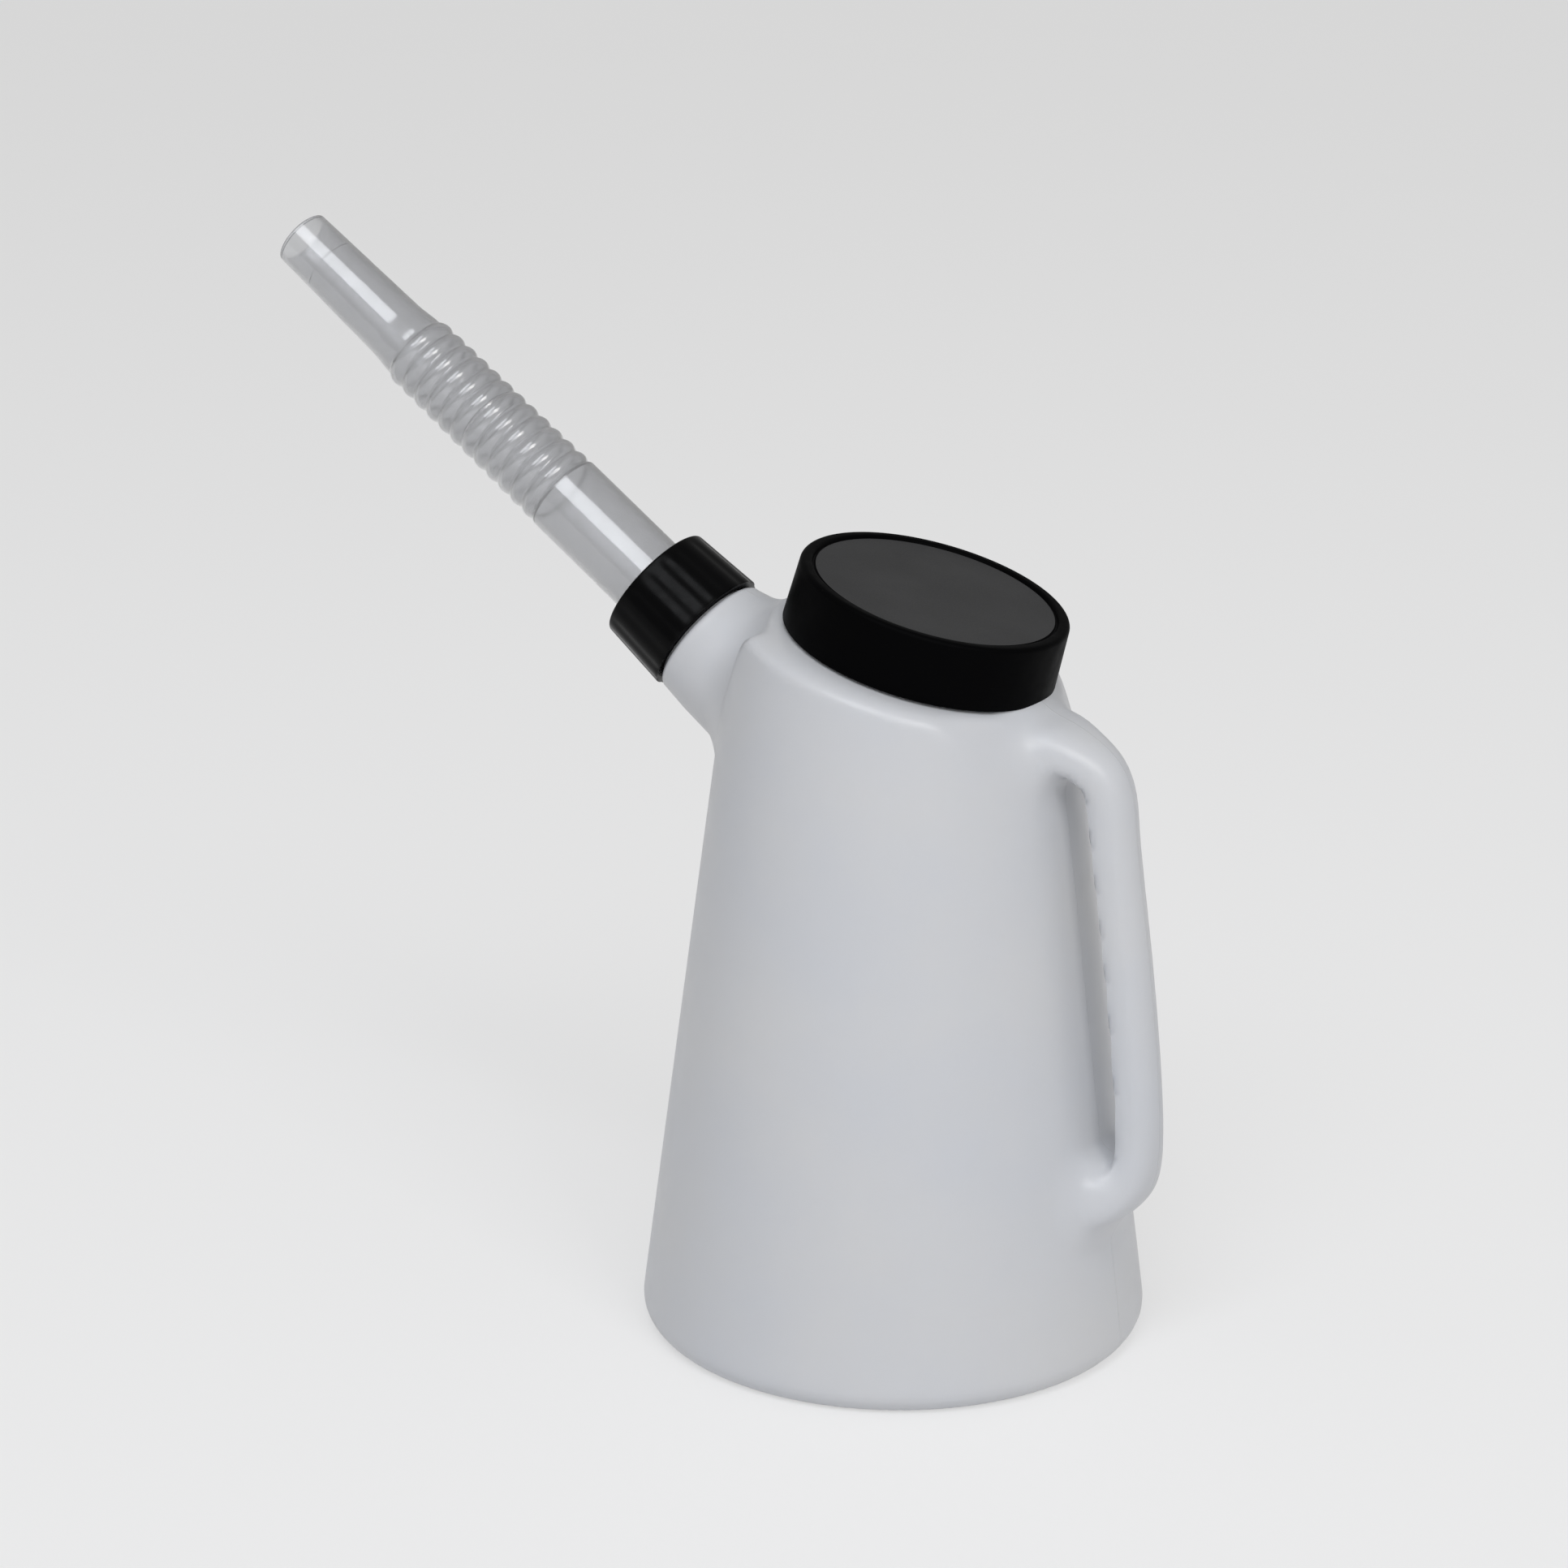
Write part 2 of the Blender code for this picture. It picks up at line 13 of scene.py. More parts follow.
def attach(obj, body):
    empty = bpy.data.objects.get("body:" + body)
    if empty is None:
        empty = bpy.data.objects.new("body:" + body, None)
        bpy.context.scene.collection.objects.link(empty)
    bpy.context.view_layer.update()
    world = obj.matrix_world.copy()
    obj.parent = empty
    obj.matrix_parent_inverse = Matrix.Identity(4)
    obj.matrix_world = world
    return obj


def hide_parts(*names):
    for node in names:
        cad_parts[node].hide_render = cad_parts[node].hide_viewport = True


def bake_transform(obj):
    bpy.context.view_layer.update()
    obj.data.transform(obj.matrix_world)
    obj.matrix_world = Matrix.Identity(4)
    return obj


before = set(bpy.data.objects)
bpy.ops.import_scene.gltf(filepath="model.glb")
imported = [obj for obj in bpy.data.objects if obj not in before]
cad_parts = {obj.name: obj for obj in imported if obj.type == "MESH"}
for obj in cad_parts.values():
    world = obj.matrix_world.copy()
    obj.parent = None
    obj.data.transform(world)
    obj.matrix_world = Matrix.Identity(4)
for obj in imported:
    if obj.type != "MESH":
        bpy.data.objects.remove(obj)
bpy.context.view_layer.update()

# ---------------------------------------------------------------------------------------------
# Jug body. A single shell of milky high-density polyethylene with an even 2 mm wall. Cone, slanted
# shoulder, spout neck and hollow handle are blown in one mould, so they run into each other in
# soft fillets, and a fine parting line goes round the middle. Mouth and neck carry outer threads.
# ---------------------------------------------------------------------------------------------
mm = 0.001
body_wall = 2.0 * mm
cone_degrees = 7.63
cone_lean = math.radians(cone_degrees)
cone_slope = math.tan(cone_lean)
foot_radius, foot_corner, foot_steps = 99.97 * mm, 8.0 * mm, 14
wall_levels = (60 * mm, 120 * mm, 180 * mm)
shoulder_tilt = math.radians(16.1)
shoulder_centre = Vector((8.3 * mm, 0.0, 272.3 * mm))
shoulder_up = Vector((math.sin(shoulder_tilt), 0.0, math.cos(shoulder_tilt)))
shoulder_out = Vector((math.cos(shoulder_tilt), 0.0, -math.sin(shoulder_tilt)))
shoulder_radius, shoulder_round, bend_steps = 57.6 * mm, 2.6 * mm, 10
tight_bend, soft_bend, handle_inset = (4.5 * mm, 2.6 * mm), (20.0 * mm, 6.0 * mm), 1.8 * mm
soft_bend_from, soft_bend_fade = 0.6, 0.3
mouth_radius, mouth_height, mouth_foot = 48.7 * mm, 21.0 * mm, 1.0 * mm
mouth_stub, mouth_cut, neck_cut = 10.0 * mm, 4.0 * mm, -27.0 * mm
mouth_lead, neck_lead = 12.0 * mm, 8.0 * mm
neck_face = Vector((-102.299 * mm, 0.0, 280.796 * mm))
neck_slope = math.radians(36.82)
neck_radius, finish_radius = 26.2 * mm, 21.5 * mm
grip_depth, grip_width, grip_offset = 15.0 * mm, 22.4 * mm, 18.8 * mm
grip_inner_edge, grip_outer_edge = 1.1 * mm, 6.0 * mm
grip_bow = (1.2 * mm, 2.0 * mm, 1.6 * mm, -0.1 * mm)
grip_top, grip_bottom, arm_rise, arm_drop = 212.0 * mm, 92.0 * mm, 33.0 * mm, 22.0 * mm
# Sections of the handle's arms: reach, rise or drop, angle in degrees, shares of depth and width.
upper_arm = ((-0.75, 1.10, 90, 1.10, 2.00), (0.00, 1.08, 86, 1.10, 1.75), (0.53, 0.93, 68, 1.00, 1.35),
             (1.00, 0.74, 40, 1.00, 1.10), (1.12, 0.38, 14, 1.06, 1.02))
lower_arm = ((0.78, 0.77, -41, 1.15, 1.20), (0.00, 1.09, -66, 1.73, 2.30), (-0.75, 1.09, -90, 1.73, 2.40))
body_columns, neck_columns = 160, 96
shell_grain, crossing = 2.45 * mm, 4 * mm
neck_from_x, neck_from_z, handle_from_x = -20 * mm, 200 * mm, 40 * mm
crease_width, fillet_zone, fillet_rounds = 2.4 * mm, 30 * mm, 24
low_fillet, high_fillet, neck_fillet = 9 * mm, 13 * mm, (4, 8)

lid_place = Matrix.Translation(shoulder_centre) @ Matrix.Rotation(shoulder_tilt, 4, "Y")
spout_place = Matrix.Translation(neck_face) @ Matrix.Rotation(neck_slope - math.pi / 2, 4, "Y")
spout_way = spout_place.to_3x3() @ Vector((0, 0, 1))


def arc(centre_r, centre_z, radius, start_deg, end_deg, steps):
    """Points of a profile arc, with angles measured from the outward direction."""
    found = []
    for i in range(steps + 1):
        angle = math.radians(start_deg + (end_deg - start_deg) * i / steps)
        found.append((centre_r + radius * math.cos(angle), centre_z + radius * math.sin(angle)))
    return found


def smooth(t):
    t = min(max(t, 0.0), 1.0)
    return t * t * (3 - 2 * t)


def cone_radius(z):
    touch_r = foot_radius - foot_corner + foot_corner * math.cos(cone_lean)
    return touch_r - (z - foot_corner - foot_corner * math.sin(cone_lean)) * cone_slope


def wall_point(angle, z):
    return Vector((cone_radius(z) * math.cos(angle), cone_radius(z) * math.sin(angle), z))


def shoulder_corner(angle):
    """Where the straight cone wall would meet the slanted plane of the shoulder."""
    reach = cone_radius(0.0)
    lean = shoulder_up.x * math.cos(angle)
    height = (shoulder_up.dot(shoulder_centre) - lean * reach) / (shoulder_up.z - lean * cone_slope)
    return wall_point(angle, height)


def shoulder_circle(angle, radius, height):
    across = shoulder_out * math.cos(angle) + Vector((0.0, math.sin(angle), 0.0))
    return shoulder_centre + across * radius + shoulder_up * height


def shoulder_paths(angle):
    """Two curves of three points: the wall bending in to the shoulder's edge, and that edge."""
    corner = shoulder_corner(angle)
    inward = (shoulder_centre - corner).normalized()
    soft = smooth((abs(math.cos(angle)) - soft_bend_from) / soft_bend_fade)
    inset = (shoulder_centre - corner).length - shoulder_radius
    inset += handle_inset * soft if math.cos(angle) > 0 else 0.0
    edge = corner + inward * inset
    below, knee = (wall_point(angle, corner.z - tight * (1 - soft) - (loose + 2 * inset) * soft)
                   for tight, loose in zip(tight_bend, soft_bend))
    near = edge + (knee - edge).normalized() * shoulder_round
    return (below, knee, near), (near, edge, edge + inward * shoulder_round)


def curved(path, t):
    return path[0] * (1 - t) ** 2 + path[1] * 2 * t * (1 - t) + path[2] * t ** 2


def cone_rings():
    angles = [math.tau * i / body_columns for i in range(body_columns)]
    rings = []
    for r, z in arc(foot_radius - foot_corner, foot_corner, foot_corner, -90.0, cone_degrees, foot_steps):
        rings.append([Vector((r * math.cos(a), r * math.sin(a), z)) for a in angles])
    for z in wall_levels:
        rings.append([wall_point(a, z) for a in angles])
    paths = [shoulder_paths(a) for a in angles]
    for part, last in ((0, bend_steps), (1, bend_steps - 1)):
        for i in range(bend_steps):
            rings.append([curved(path[part], i / last) for path in paths])
    root = arc(mouth_radius + mouth_foot, mouth_foot, mouth_foot, -90.0, -180.0, 5)
    for r, h in root + [(mouth_radius, mouth_stub)]:
        rings.append([shoulder_circle(a, r, h) for a in angles])
    return rings


def neck_rings():
    """The neck widens a little on its way into the cone. Heights run along the spout's axis."""
    levels = ((neck_radius, -18.0, 0.0), (neck_radius, -25.1, 0.0), (neck_radius + 2.0 * mm, -36.0, 1.3),
              (neck_radius + 4.0 * mm, -62.0, 2.6))
    rings = []
    for radius, height, rise in levels:
        ring = []
        for i in range(neck_columns):
            a = math.tau * i / neck_columns
            spot = Vector((rise * mm + radius * math.cos(a), radius * math.sin(a), height * mm))
            ring.append(spout_place @ spot)
        rings.append(ring)
    return rings


def handle_rings():
    rings = []

    def add(x, z, angle, depth_share, width_share):
        deep, wide = grip_depth * depth_share / 2, grip_width * width_share / 2
        near, far = grip_inner_edge, grip_outer_edge
        half = ((-deep, wide - 3 * near), (-deep, wide - near), (near - deep, wide), (3 * near - deep, wide),
                (deep - far, wide), (deep, wide - far))
        turn, middle = Vector((math.cos(angle), 0.0, math.sin(angle))), Vector((x, 0.0, z))
        rings.append([middle + turn * u - Vector((0, v, 0)) for u, v in half]
                     + [middle + turn * u + Vector((0, v, 0)) for u, v in reversed(half)])

    for reach, rise, angle, depth_share, width_share in upper_arm:
        z = grip_top + arm_rise * rise
        add(cone_radius(z) + grip_offset * reach, z, math.radians(angle), depth_share, width_share)
    for i, bow in enumerate(grip_bow):
        z = grip_top + (grip_bottom - grip_top) * i / (len(grip_bow) - 1)
        add(cone_radius(z) + grip_offset + bow, z, cone_lean, 1, 1)
    for reach, drop, angle, depth_share, width_share in lower_arm:
        z = grip_bottom - arm_drop * drop
        add(cone_radius(z) + grip_offset * reach, z, math.radians(angle), depth_share, width_share)
    return rings


def closed_form(name, rings):
    mesh = bpy.data.meshes.new(name)
    count = len(rings[0])
    faces = []
    for k in range(len(rings) - 1):
        for i in range(count):
            j = (i + 1) % count
            faces.append((k * count + i, k * count + j, (k + 1) * count + j, (k + 1) * count + i))
    faces.append(tuple(range(count)))
    faces.append(tuple(range((len(rings) - 1) * count, len(rings) * count)))
    mesh.from_pydata([point for ring in rings for point in ring], [], faces)
    outward(mesh)
    return mesh


def outward(mesh):
    work = bmesh.new()
    work.from_mesh(mesh)
    bmesh.ops.recalc_face_normals(work, faces=work.faces)
    for face in work.faces:
        face.smooth = True
    work.to_mesh(mesh)
    work.free()


def finished(mesh, prepare):
    """The plain mesh that a temporary object gives once its modifiers have run."""
    thing = bpy.data.objects.new("working_piece", mesh)
    bpy.context.scene.collection.objects.link(thing)
    prepare(thing)
    bpy.context.view_layer.update()
    graph = bpy.context.evaluated_depsgraph_get()
    made = bpy.data.meshes.new_from_object(thing.evaluated_get(graph))
    bpy.data.objects.remove(thing, do_unlink=True)
    return made


def joined(meshes):
    work = bmesh.new()
    for mesh in meshes:
        work.from_mesh(mesh)
    made = bpy.data.meshes.new(meshes[0].name)
    work.to_mesh(made)
    work.free()
    return made


def soften(thing):
    step = thing.modifiers.new("soft", "SUBSURF")
    step.levels = step.render_levels = 4


def skin_over(thing):
    step = thing.modifiers.new("skin", "REMESH")
    step.mode = "VOXEL"
    step.voxel_size = shell_grain


def even_wall(thing):
    step = thing.modifiers.new("wall", "SOLIDIFY")
    step.thickness = body_wall
    step.offset = -1.0
    step.use_quality_normals = True


forms = [closed_form("cone_form", cone_rings()), closed_form("neck_form", neck_rings()),
         finished(closed_form("handle_form", handle_rings()), soften)]
skin = finished(joined(forms), skin_over)
trees = []
for form in forms:
    corners = [v.co.copy() for v in form.vertices]
    trees.append(BVHTree.FromPolygons(corners, [tuple(f.vertices) for f in form.polygons]))
place = np.empty(len(skin.vertices) * 3)
skin.vertices.foreach_get("co", place)
place = place.reshape(-1, 3)
ties = np.empty(len(skin.edges) * 2, np.int64)
skin.edges.foreach_get("vertices", ties)
ties = ties.reshape(-1, 2)
degree = np.bincount(ties.ravel(), minlength=len(place))[:, None]


def relax(rounds, strength):
    """Moves every point of the skin some way towards the middle of its neighbours."""
    for _ in range(rounds):
        total = np.empty_like(place)
        for k in range(3):
            total[:, k] = np.bincount(ties[:, 0], place[ties[:, 1], k], len(place))
            total[:, k] += np.bincount(ties[:, 1], place[ties[:, 0], k], len(place))
        place[:] += (total / degree - place) * strength


def depths(rows):
    """Signed distance of some points to each form, and the nearest point on each."""
    far = np.full((len(rows), 3), 1.0)
    near = np.zeros((len(rows), 3, 3))
    for n, i in enumerate(rows):
        x, z = place[i, 0], place[i, 2]
        for k, tree in enumerate(trees):
            if (k == 1 and (x > neck_from_x or z < neck_from_z)) or (k == 2 and x < handle_from_x):
                continue
            point, normal, _, distance = tree.find_nearest(place[i])
            inside = distance < crossing and (Vector(place[i]) - point).dot(normal) < 0
            far[n, k] = -distance if inside else distance
            near[n, k] = point
    return far, near


# The skin is drawn back onto the three forms, and the creases between them become fillets: points
# near a crease are relaxed, and a point that would sink into a form is put back on its surface.
everywhere = np.arange(len(place))
for _ in range(2):
    relax(3, 0.5)
    far, near = depths(everywhere)
    place[:] = near[everywhere, far.argmin(1)]
near_two = np.sort(np.abs(far), axis=1)
creases = everywhere[near_two[:, 1] < crease_width]
crease_tree = KDTree(len(creases))
for i in creases:
    crease_tree.insert(place[i], int(i))
crease_tree.balance()
zone = np.zeros(len(place))
neck_back = spout_place.inverted()
for i in everywhere[near_two[:, 1] < fillet_zone]:
    point, _, distance = crease_tree.find(place[i])
    reach = low_fillet if point.z < grip_bottom else high_fillet
    if point.x < 0:
        over = min(max(0.5 + (neck_back @ point).x / (2 * neck_radius), 0.0), 1.0)
        reach = (neck_fillet[0] + neck_fillet[1] * over) * mm
    zone[i] = smooth(1 - distance / reach)
soft_rows = everywhere[zone > 0]
for _ in range(fillet_rounds):
    relax(6, 0.6 * zone[:, None])
    far, near = depths(soft_rows)
    deep = far.min(1) < 0
    place[soft_rows[deep]] = near[deep, far[deep].argmin(1)]
relax(3, 0.5 * np.maximum(zone, 0.12)[:, None])
skin.vertices.foreach_set("co", place.ravel())


def open_end(work, centre, way):
    """Vertices of the open edge that lies in a plane, in order."""
    edges = [e for e in work.edges if len(e.link_faces) == 1
             and all(abs((v.co - centre).dot(way)) < 0.02 * mm for v in e.verts)]
    steps = {}
    for e in edges:
        for a, b in (e.verts, reversed(e.verts)):
            steps.setdefault(a, []).append(b)
    start = edges[0].verts[0]
    line, last = [start], None
    while True:
        following = [v for v in steps[line[-1]] if v is not last]
        last = line[-1]
        if following[0] is start:
            return line
        line.append(following[0])


def draw_up(work, line, frame_at, profile):
    """Carries an open edge on through turned rings, so that the wall stays one sheet."""
    back = frame_at.inverted()
    angles = [math.atan2((back @ v.co).y, (back @ v.co).x) for v in line]
    for r, h in profile:
        row = [work.verts.new(frame_at @ Vector((r * math.cos(a), r * math.sin(a), h))) for a in angles]
        for i in range(len(row)):
            j = (i + 1) % len(row)
            work.faces.new((line[i], line[j], row[j], row[i]))
        line = row


# Mouth and neck are cut off square and carried on as turned collars with exact profiles.
shell = bmesh.new()
shell.from_mesh(skin)
for frame_at, cut, reach, profile in (
        (lid_place, mouth_cut, 60.0 * mm,
         [(mouth_radius, 4.6 * mm), (mouth_radius, mouth_height - 0.8 * mm)]
         + arc(mouth_radius - 0.6 * mm, mouth_height - 0.6 * mm, 0.6 * mm, 0.0, 90.0, 4)),
        (spout_place, neck_cut, 36.0 * mm,
         arc(neck_radius - 3.0 * mm, -25.1 * mm, 3.0 * mm, 0.0, 90.0, 8)
         + arc(finish_radius + 0.6 * mm, -21.5 * mm, 0.6 * mm, -90.0, -180.0, 4)
         + [(finish_radius, -0.6 * mm)] + arc(finish_radius - 0.5 * mm, -0.5 * mm, 0.5 * mm, 0.0, 90.0, 3))):
    back = frame_at.inverted()
    picked = []
    for face in shell.faces:
        spots = [back @ v.co for v in face.verts]
        if all(p.z > cut - 9.0 * mm and p.xy.length < reach for p in spots):
            picked.append(face)
    way = frame_at.to_3x3() @ Vector((0, 0, 1))
    centre = frame_at @ Vector((0, 0, cut))
    # Each part once, in the mesh's own order, so that every run cuts alike.
    parts = list(dict.fromkeys(part for face in picked for part in (*face.verts, *face.edges)))
    bmesh.ops.bisect_plane(shell, geom=parts + picked, dist=0.001 * mm, plane_co=centre, plane_no=way,
                           clear_outer=True)
    draw_up(shell, open_end(shell, centre, way), frame_at, profile)
bmesh.ops.recalc_face_normals(shell, faces=shell.faces)
for face in shell.faces:
    face.smooth = True
shell.to_mesh(skin)
shell.free()
body_mesh = finished(skin, even_wall)


def geometry_tree(name, sizes):
    """An empty Geometry Nodes tree with named inputs. Each size is (label, socket kind)."""
    tree = bpy.data.node_groups.new(name, "GeometryNodeTree")
    tree.interface.new_socket("Geometry", in_out="OUTPUT", socket_type="NodeSocketGeometry")
    tree.interface.new_socket("Geometry", in_out="INPUT", socket_type="NodeSocketGeometry")
    for label, kind in sizes:
        tree.interface.new_socket(label, in_out="INPUT", socket_type="NodeSocket" + kind)
    return tree, tree.nodes.new("NodeGroupInput").outputs


def put(tree, kind, inputs=None, **settings):
    """Adds a node. Its inputs are given by name or number, as a value or as another node's output."""
    node = tree.nodes.new(kind)
    for key, value in settings.items():
        setattr(node, key, value)
    for key, value in (inputs or {}).items():
        if isinstance(value, bpy.types.NodeSocket):
            tree.links.new(value, node.inputs[key])
        else:
            node.inputs[key].default_value = value
    return node


def sum_of(tree, operation, first, second=0.0, third=0.0):
    return put(tree, "ShaderNodeMath", {0: first, 1: second, 2: third}, operation=operation).outputs[0]


def end_tree(tree, geometry, material_input):
    whole = put(tree, "GeometryNodeRealizeInstances", {"Geometry": geometry})
    coloured = put(tree, "GeometryNodeSetMaterial", {
        "Geometry": whole.outputs[0], "Material": material_input})
    put(tree, "NodeGroupOutput", {"Geometry": coloured.outputs[0]})


def grown(tree, values, start=None):
    """Runs a tree on a mesh, or on nothing, and gives back the plain mesh."""
    labels = {s.name: s.identifier for s in tree.interface.items_tree if s.in_out == "INPUT"}

    def prepare(thing):
        step = thing.modifiers.new("grow", "NODES")
        step.node_group = tree
        for label, value in values.items():
            step[labels[label]] = value
    return finished(start or bpy.data.meshes.new(tree.name), prepare)


thread_tree, size = geometry_tree("round_thread", [
    ("Radius", "Float"), ("Lead", "Float"), ("Turns", "Float"), ("Start Height", "Float"),
    ("Ridge", "Float"), ("Starts", "Int"), ("Turned By", "Float"), ("Material", "Material")])
rise = sum_of(thread_tree, "MULTIPLY", size["Lead"], size["Turns"])
helix = put(thread_tree, "GeometryNodeCurveSpiral", {
    "Resolution": 96, "Rotations": size["Turns"], "Start Radius": size["Radius"],
    "End Radius": size["Radius"], "Height": rise})
along = put(thread_tree, "GeometryNodeSplineParameter").outputs["Factor"]
from_end = sum_of(thread_tree, "MINIMUM", along, sum_of(thread_tree, "SUBTRACT", 1.0, along))
run_out = put(thread_tree, "ShaderNodeMapRange", {"Value": from_end, "From Max": 0.07, "To Min": 0.15},
              interpolation_type="SMOOTHSTEP").outputs[0]
sized = put(thread_tree, "GeometryNodeSetCurveRadius", {"Curve": helix.outputs[0], "Radius": run_out})
ridge_round = put(thread_tree, "GeometryNodeCurvePrimitiveCircle", {
    "Resolution": 10, "Radius": size["Ridge"]})
ridge = put(thread_tree, "GeometryNodeCurveToMesh", {
    "Curve": sized.outputs[0], "Profile Curve": ridge_round.outputs[0], "Fill Caps": True})
if "Scale" in ridge.inputs:
    thread_tree.links.new(run_out, ridge.inputs["Scale"])
starts = put(thread_tree, "GeometryNodePoints", {"Count": size["Starts"]})
number = put(thread_tree, "GeometryNodeInputIndex").outputs[0]
step_angle = sum_of(thread_tree, "DIVIDE", math.tau, size["Starts"])
start_angle = sum_of(thread_tree, "MULTIPLY_ADD", number, step_angle, size["Turned By"])
turned_to = put(thread_tree, "ShaderNodeCombineXYZ", {"Z": start_angle}).outputs[0]
all_starts = put(thread_tree, "GeometryNodeInstanceOnPoints", {
    "Points": starts.outputs[0], "Instance": ridge.outputs[0], "Rotation": turned_to})
lift = put(thread_tree, "ShaderNodeCombineXYZ", {"Z": size["Start Height"]}).outputs[0]
lifted = put(thread_tree, "GeometryNodeTransform", {"Geometry": all_starts.outputs[0], "Translation": lift})
end_tree(thread_tree, lifted.outputs[0], size["Material"])


def thread(frame_at, radius, lead, turns, start, ridge_height, turned_by, material):
    made = grown(thread_tree, {
        "Radius": radius, "Lead": lead, "Turns": turns, "Start Height": start, "Ridge": ridge_height,
        "Starts": 2, "Turned By": turned_by, "Material": material})
    made.transform(frame_at)
    outward(made)
    return made


def plastic(name, colour, roughness, **others):
    """A Principled material whose plain numbers are set on the shader itself."""
    material = bpy.data.materials.new(name)
    material.use_nodes = True
    shader = material.node_tree.nodes["Principled BSDF"]
    shader.inputs["Base Color"].default_value = (*colour, 1.0)
    shader.inputs["Roughness"].default_value = roughness
    for label, value in others.items():
        shader.inputs[label.replace("_", " ")].default_value = value
    where = material.node_tree.nodes.new("ShaderNodeTexCoord").outputs["Object"]
    return material, material.node_tree, shader, where


def noise(tree, where, size_of, detail=2.0, roughness=0.5):
    return put(tree, "ShaderNodeTexNoise", {
        "Vector": where, "Scale": 1 / size_of, "Detail": detail, "Roughness": roughness}).outputs[0]


def span(tree, value, low, high, to_low=0.0, to_high=1.0, kind="LINEAR"):
    return put(tree, "ShaderNodeMapRange", {
        "Value": value, "From Min": low, "From Max": high, "To Min": to_low, "To Max": to_high},
        interpolation_type=kind).outputs[0]


def tint(tree, share, first, second):
    node = tree.nodes.new("ShaderNodeMix")
    node.data_type = "RGBA"
    tree.links.new(share, node.inputs[0])
    node.inputs[6].default_value = (*first, 1.0)
    node.inputs[7].default_value = (*second, 1.0)
    return node.outputs[2]


def bumps(tree, shader, *layers):
    """Stacks bump layers, each given as (height, depth in metres)."""
    normal = None
    for height, depth in layers:
        node = put(tree, "ShaderNodeBump", {"Height": height, "Distance": depth})
        node.inputs["Strength"].default_value = 1.0
        if normal:
            tree.links.new(normal, node.inputs["Normal"])
        normal = node.outputs[0]
    tree.links.new(normal, shader.inputs["Normal"])


milky, tree, shader, where = plastic("milky_polyethylene", (0.63, 0.64, 0.665), 0.4, IOR=1.53)
shader.inputs["Subsurface Weight"].default_value = 0.35
shader.inputs["Subsurface Radius"].default_value = (1.0, 0.95, 0.9)
shader.inputs["Subsurface Scale"].default_value = 3.0 * mm
cloud = noise(tree, where, 70 * mm, 3.0)
tree.links.new(tint(tree, span(tree, cloud, 0.3, 0.7), (0.615, 0.63, 0.665), (0.645, 0.65, 0.665)),
               shader.inputs["Base Color"])
satin = noise(tree, where, 9 * mm, 4.0)
tree.links.new(span(tree, satin, 0.25, 0.75, 0.3, 0.4), shader.inputs["Roughness"])
across = put(tree, "ShaderNodeSeparateXYZ", {0: where}).outputs["Y"]
seam = span(tree, sum_of(tree, "ABSOLUTE", across), 0.1 * mm, 0.45 * mm, 1.0, 0.0, "SMOOTHSTEP")
bumps(tree, shader, (noise(tree, where, 60 * mm, 2.0), 0.5 * mm),
      (noise(tree, where, 0.9 * mm, 3.0), 0.012 * mm), (seam, 0.14 * mm))

mouth_thread = thread(lid_place, mouth_radius - 0.1 * mm, mouth_lead, 0.85, 8.4 * mm, 1.3 * mm, 0.0, milky)
neck_thread = thread(spout_place, finish_radius - 0.1 * mm, neck_lead, 1.4, -16.5 * mm, 1.15 * mm, 0.0, milky)


def piece(name, meshes, material, body, slot, *nodes, sharp=40):
    """Makes the finished object, with its place in its mesh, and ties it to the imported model."""
    mesh = joined(meshes)
    mesh.name = name
    for one in material if isinstance(material, (list, tuple)) else [material]:
        mesh.materials.append(one)
    if len(mesh.materials) == 1:
        mesh.polygons.foreach_set("material_index", [0] * len(mesh.polygons))
    mesh.set_sharp_from_angle(angle=math.radians(sharp))
    thing = bpy.data.objects.new(name, mesh)
    bpy.context.scene.collection.objects.link(thing)
    if body:
        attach(thing, body)
    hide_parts(*nodes)
    return thing


piece("jug_shell", [body_mesh, mouth_thread, neck_thread], milky, "jug", "milky_plastic", "jug_body",
      sharp=50)

# ---------------------------------------------------------------------------------------------
# Lid. A wide screw cap injection-moulded in black polypropylene. A raised rim frames a matt disc
# on top, the skirt is plain, and a two-start thread inside it screws onto the mouth of the jug.
# ---------------------------------------------------------------------------------------------
lid_rim, lid_top, lid_low, lid_high = 53.5 * mm, 52.6 * mm, 1.2 * mm, 26.2 * mm
lid_skin = 2.2 * mm
disc_radius, disc_sink, groove_depth = 47.6 * mm, 0.9 * mm, 0.5 * mm


def turned(name, profile, steps, closed, frame_at, faces_from=None):
    """A profile of (radius, height) turned once. Radius 0 makes a pole. The rows numbered in
    faces_from take the second material."""
    work = bmesh.new()
    angles = [math.tau * i / steps for i in range(steps)]
    rows = []
    for r, h in profile:
        if r < 1e-9:
            rows.append([work.verts.new((0.0, 0.0, h))])
        else:
            rows.append([work.verts.new((r * math.cos(a), r * math.sin(a), h)) for a in angles])
    pairs = list(zip(rows, rows[1:])) + ([(rows[-1], rows[0])] if closed else [])
    for number, (a, b) in enumerate(pairs):
        for i in range(steps):
            j = (i + 1) % steps
            corners = ([a[i % len(a)], a[j % len(a)]] if len(a) > 1 else [a[0]])
            corners += ([b[j], b[i]] if len(b) > 1 else [b[0]])
            face = work.faces.new(corners)
            if faces_from is not None and number in faces_from:
                face.material_index = 1
    bmesh.ops.recalc_face_normals(work, faces=work.faces)
    for face in work.faces:
        face.smooth = True
    mesh = bpy.data.meshes.new(name)
    work.to_mesh(mesh)
    work.free()
    mesh.transform(frame_at)
    return mesh


